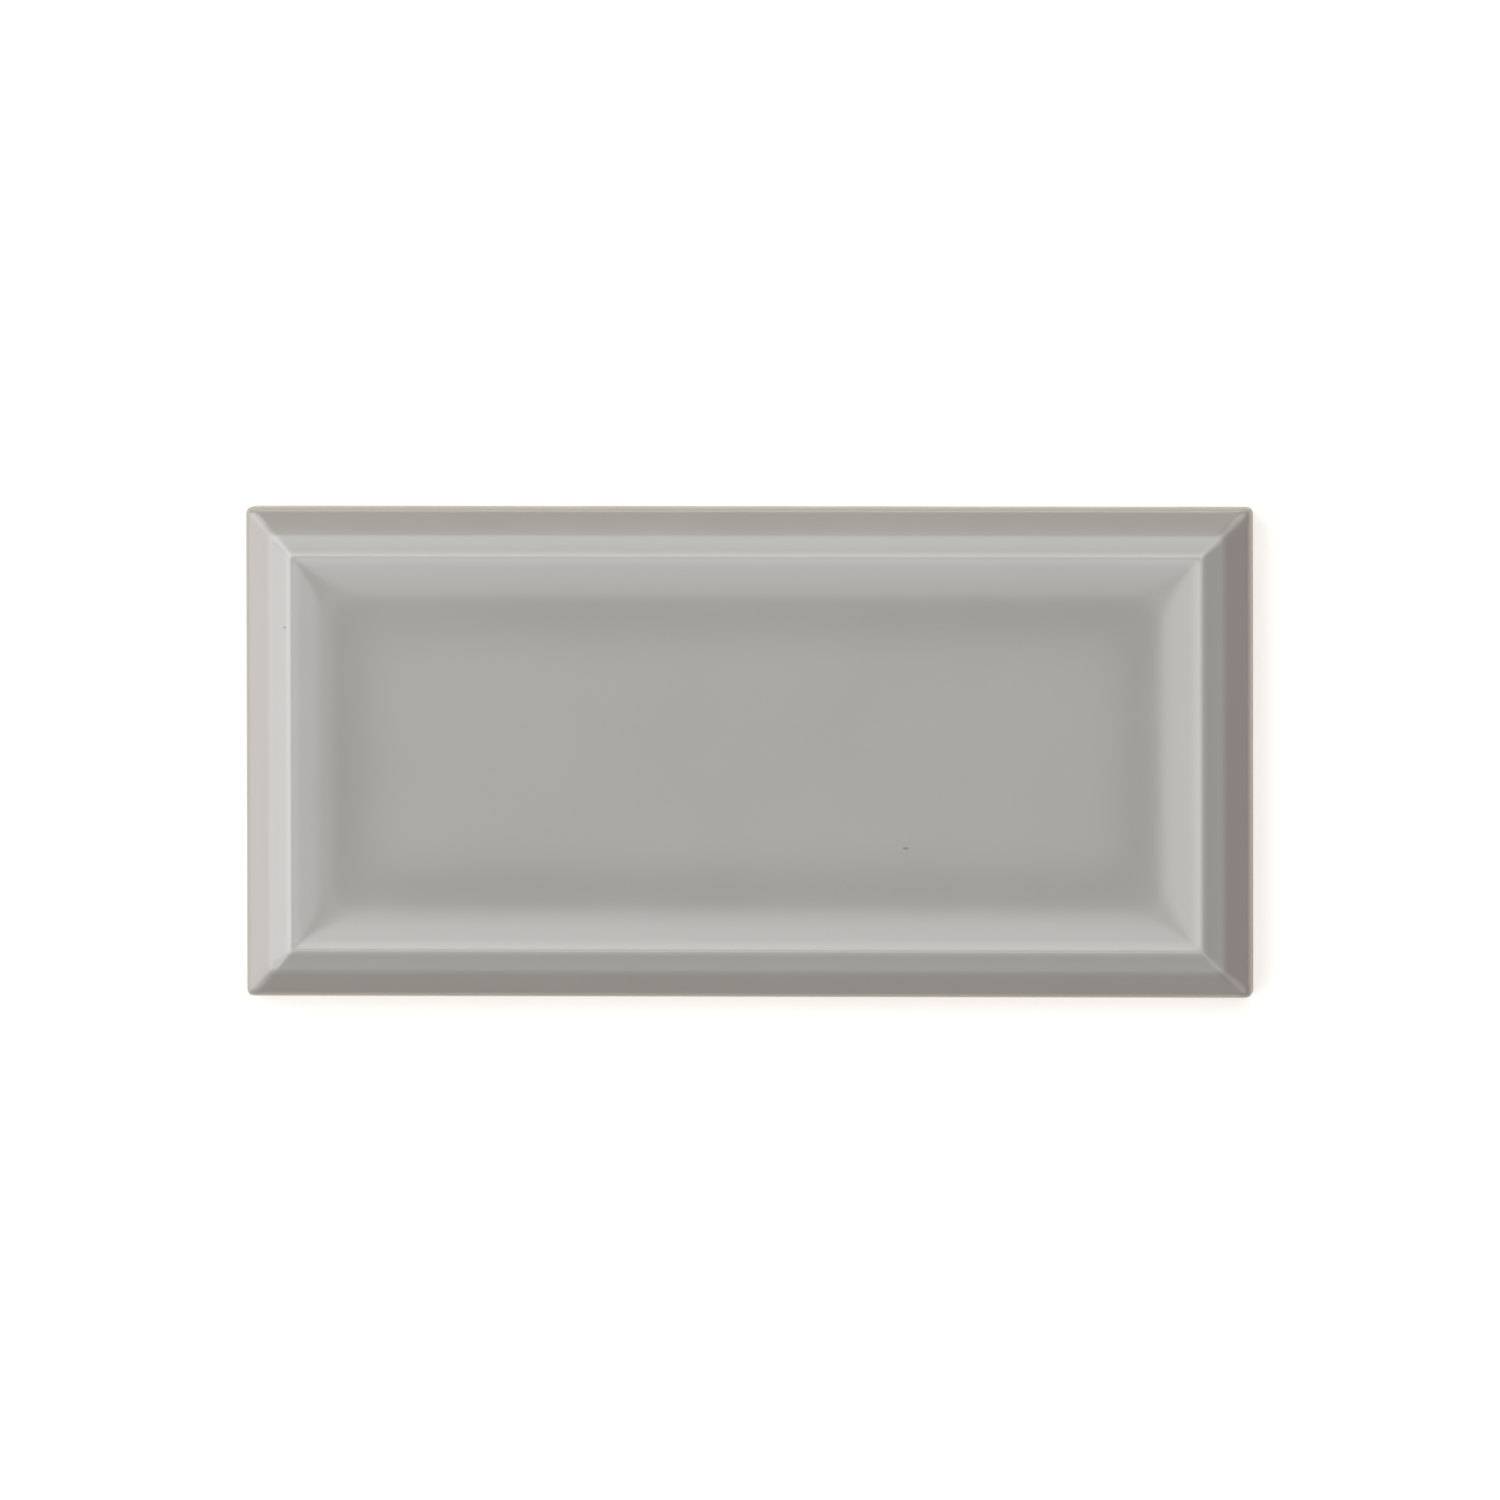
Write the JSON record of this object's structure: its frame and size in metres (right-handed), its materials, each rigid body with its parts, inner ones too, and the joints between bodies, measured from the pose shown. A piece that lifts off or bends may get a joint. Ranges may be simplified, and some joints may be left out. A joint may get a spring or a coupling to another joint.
{
  "type": "framed wall tile",
  "caption": "Rectangular glazed ceramic wall tile with a mitred, stepped frame that falls through a wide cove to a flat field, and a pocketed back for adhesive.",
  "frame": {"origin": "middle of the back, on the plane that is bonded to the wall", "axes": "+X along the tile's length, +Y across its width, +Z out of the glazed face"},
  "size_m": [0.15, 0.073, 0.0101],
  "materials": {
    "glaze": "gloss"
  },
  "bodies": {
    "root": {"wall_tile": "glaze"}
  },
  "joints": []
}
